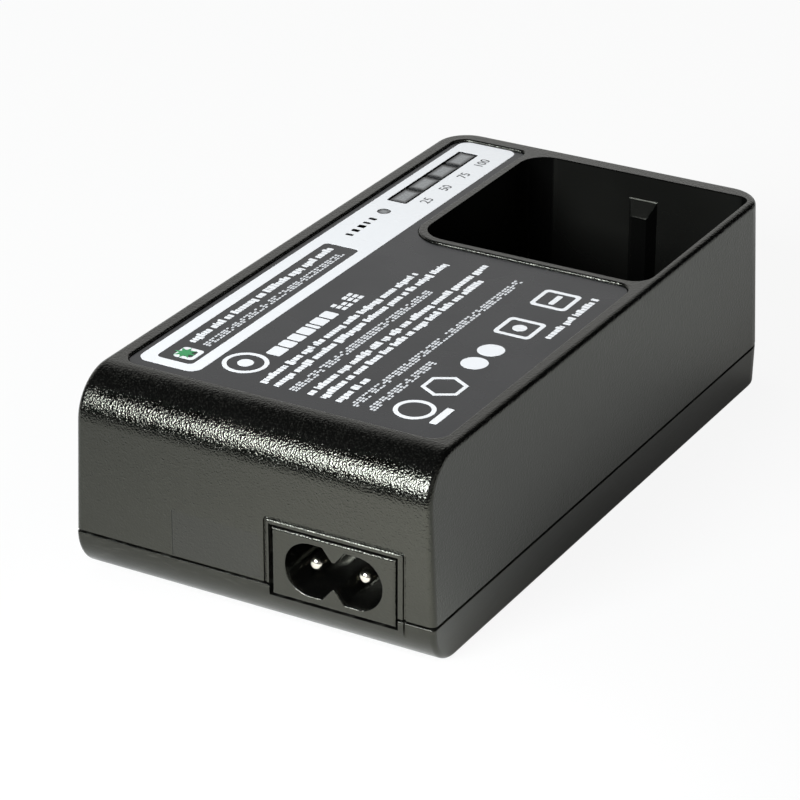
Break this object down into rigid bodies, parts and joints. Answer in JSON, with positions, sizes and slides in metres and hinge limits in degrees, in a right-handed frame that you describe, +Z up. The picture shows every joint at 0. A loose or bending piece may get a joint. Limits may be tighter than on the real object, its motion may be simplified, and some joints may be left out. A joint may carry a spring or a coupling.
{
  "type": "battery charger",
  "caption": "Desk-top battery charger: a black moulded case with a square battery well, a printed film with charge lamps on its top and a figure-of-eight mains inlet at the front.",
  "frame": {"origin": "under the middle of the case, on the surface that it stands on", "axes": "+Z up, +Y from the inlet to the rear along the length, +X to the right of someone who faces the inlet"},
  "size_m": [0.0642, 0.1202, 0.0345],
  "materials": {
    "case_textured": "fine spark texture",
    "case_satin": "satin",
    "film": "satin printed film",
    "lens": "smoked clear",
    "inlet_black": "smooth",
    "nickel": "nickel plated",
    "laminate": "solder resist",
    "insulation": "fibre sheet",
    "lamp": "moulded",
    "ribbon": "flat cable",
    "contact_black": "moulded",
    "steel": "zinc plated",
    "ferrite": "sintered",
    "bobbin": "moulded",
    "coil_tape": "polyester tape",
    "capacitor_yellow": "moulded box",
    "copper": "enamelled wire",
    "capacitor_sleeve": "shrunk sleeve",
    "heat_sink": "extruded",
    "capacitor_blue": "dipped",
    "inductor_green": "coated powder core"
  },
  "bodies": {
    "root": {"upper_housing": "case_textured", "lower_housing": "case_satin", "graphic_overlay": "film", "charge_light_guide": "lens", "power_light_pipe": "lens", "inlet_socket": "inlet_black", "inlet_pins": "nickel", "main_board": "laminate", "insulation_sheet": "insulation", "indicator_board": "laminate", "charge_lamps": "lamp", "power_lamp": "lamp", "signal_ribbon": "ribbon", "contact_block": "contact_black", "contact_blades": "nickel", "housing_screws": "steel", "transformer_core": "ferrite", "transformer_bobbin": "bobbin", "transformer_coil": "coil_tape", "line_capacitor": "capacitor_yellow", "micro_fuse": "contact_black", "choke_core": "ferrite", "choke_windings": "copper", "bridge_rectifier": "contact_black", "input_capacitor": "capacitor_sleeve", "switch_heat_sink": "heat_sink", "switch_transistor": "contact_black", "safety_capacitor": "capacitor_blue", "optocoupler": "contact_black", "output_heat_sink": "heat_sink", "output_rectifier": "contact_black", "output_capacitors": "capacitor_sleeve", "inductor_core": "inductor_green", "inductor_winding": "copper", "controller_chip": "contact_black"}
  },
  "joints": []
}
